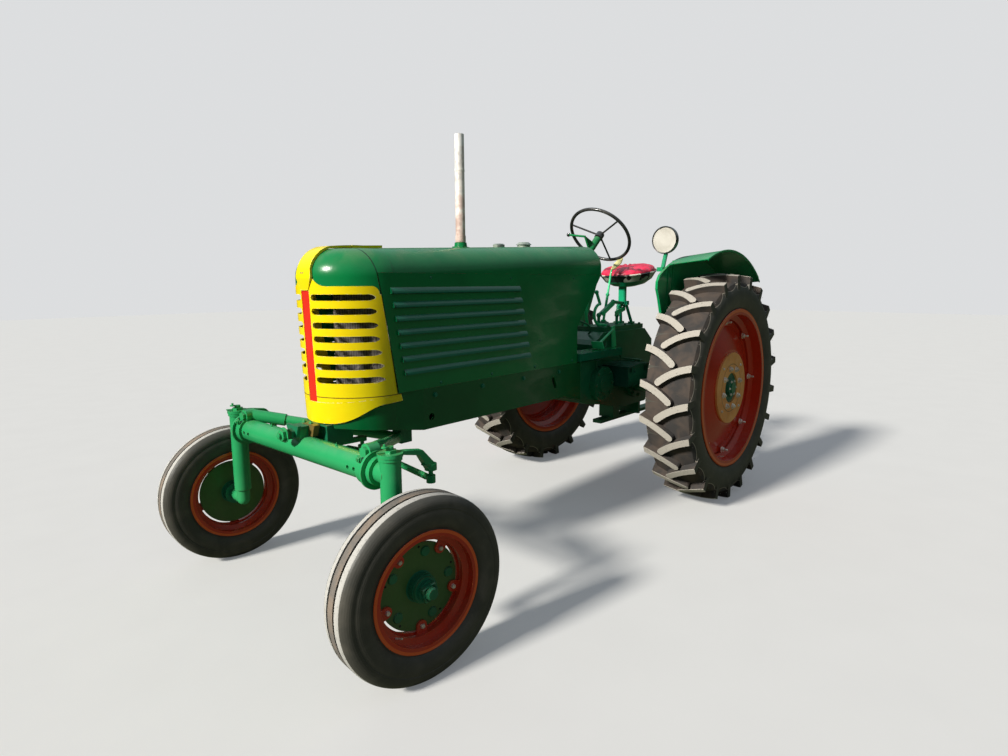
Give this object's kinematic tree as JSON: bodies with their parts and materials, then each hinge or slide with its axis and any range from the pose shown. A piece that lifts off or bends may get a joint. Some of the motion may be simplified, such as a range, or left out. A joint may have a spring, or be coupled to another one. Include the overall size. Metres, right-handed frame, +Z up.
{
  "type": "vintage row-crop farm tractor",
  "caption": "Old row-crop farm tractor with a rounded slotted nose, long louvred hood, adjustable wide front axle, open driver's seat, crowned fenders and tall cleated rear wheels.",
  "frame": {"origin": "on the ground, midway between the back of the rear tyres and the front of the front tyres, on the centre plane", "axes": "+X forward, +Y to the driver's left, +Z up"},
  "size_m": [3.6688, 1.7948, 2.17],
  "materials": {
    "green_paint": "gloss enamel, dusty",
    "yellow_paint": "gloss enamel",
    "red_paint": "gloss enamel",
    "red_strip": "gloss enamel",
    "hub_paint": "dusty enamel",
    "tyre": "worn, dusty tread",
    "cushion": "vinyl",
    "radiator": "matte",
    "exhaust": "heat stained",
    "wheel_grip": "worn",
    "lens": "milky",
    "lamp_body": "gloss",
    "caps": "gloss"
  },
  "bodies": {
    "chassis": {"main_frame": "green_paint", "front_bolster": "green_paint", "engine_block": "green_paint", "radiator": "radiator", "grille": "yellow_paint", "grille_strip": "red_strip", "nose_band": "yellow_paint", "chin_panel": "yellow_paint", "nose_cheeks": "green_paint", "hood": "green_paint", "hood_caps": "caps", "side_panel_left": "green_paint", "side_panel_right": "green_paint", "exhaust_pipe": "exhaust", "gearbox": "green_paint", "axle_housings": "green_paint", "foot_platforms": "green_paint", "battery_box": "green_paint", "controls": "green_paint", "steering_column": "green_paint", "seat_pan": "green_paint", "seat_cushion": "cushion", "fender_left": "green_paint", "fender_right": "green_paint", "head_lamp": "lamp_body", "lamp_lens": "lens", "drawbar": "green_paint", "front_axle": "green_paint"},
    "steering_wheel": {"steering_wheel": "wheel_grip"},
    "centre_arm": {"centre_arm": "green_paint"},
    "tie_rod_left": {"tie_rod_left": "green_paint"},
    "tie_rod_right": {"tie_rod_right": "green_paint"},
    "spindle_left": {"spindle_left": "green_paint"},
    "spindle_right": {"spindle_right": "green_paint"},
    "front_wheel_left": {"front_tyre_left": "tyre", "front_rim_left": "red_paint", "front_hub_left": "green_paint"},
    "front_wheel_right": {"front_tyre_right": "tyre", "front_rim_right": "red_paint", "front_hub_right": "green_paint"},
    "rear_wheel_left": {"rear_tyre_left": "tyre", "rear_rim_left": "red_paint", "rear_hub_left": "hub_paint"},
    "rear_wheel_right": {"rear_tyre_right": "tyre", "rear_rim_right": "red_paint", "rear_hub_right": "hub_paint"}
  },
  "joints": [
    {"name": "steer_left", "type": "hinge", "parent": "chassis", "child": "spindle_left", "pos_m": [1.47054, 0.6, 0.345], "axis": [0, 0, 1], "range_deg": [-34, 46]},
    {"name": "steer_right", "type": "hinge", "parent": "chassis", "child": "spindle_right", "pos_m": [1.47054, -0.6, 0.345], "axis": [0, 0, 1], "range_deg": [-34, 46]},
    {"name": "steer_centre", "type": "hinge", "parent": "chassis", "child": "centre_arm", "pos_m": [1.36054, 0, 0.704], "axis": [0, 0, 1], "range_deg": [-34, 46]},
    {"name": "steer_rod_left", "type": "hinge", "parent": "centre_arm", "child": "tie_rod_left", "pos_m": [1.18152, 0.01881, 0.664], "axis": [0, 0, 1], "range_deg": [-46, 34]},
    {"name": "steer_rod_right", "type": "hinge", "parent": "centre_arm", "child": "tie_rod_right", "pos_m": [1.18152, 0.01881, 0.64], "axis": [0, 0, 1], "range_deg": [-46, 34]},
    {"name": "steer_hand", "type": "hinge", "parent": "chassis", "child": "steering_wheel", "pos_m": [-0.83446, 0, 1.735], "axis": [-0.7431, 0, 0.6691], "range_deg": [-408, 552]},
    {"name": "roll_front_left", "type": "hinge", "parent": "spindle_left", "child": "front_wheel_left", "pos_m": [1.48779, 0.7641, 0.345], "axis": [0.1045, 0.9945, 0], "continuous": true},
    {"name": "roll_front_right", "type": "hinge", "parent": "spindle_right", "child": "front_wheel_right", "pos_m": [1.45329, -0.7641, 0.345], "axis": [0.1045, 0.9945, 0], "continuous": true},
    {"name": "roll_rear_left", "type": "hinge", "parent": "chassis", "child": "rear_wheel_left", "pos_m": [-1.09946, 0.74, 0.735], "axis": [0, 1, 0], "continuous": true},
    {"name": "roll_rear_right", "type": "hinge", "parent": "chassis", "child": "rear_wheel_right", "pos_m": [-1.09946, -0.74, 0.735], "axis": [0, 1, 0], "continuous": true}
  ],
  "couplings": [
    {"joint": "steer_right", "follows": "steer_left", "ratio": 1},
    {"joint": "steer_centre", "follows": "steer_left", "ratio": 1},
    {"joint": "steer_rod_left", "follows": "steer_left", "ratio": -1},
    {"joint": "steer_rod_right", "follows": "steer_left", "ratio": -1},
    {"joint": "steer_hand", "follows": "steer_left", "ratio": 12}
  ]
}
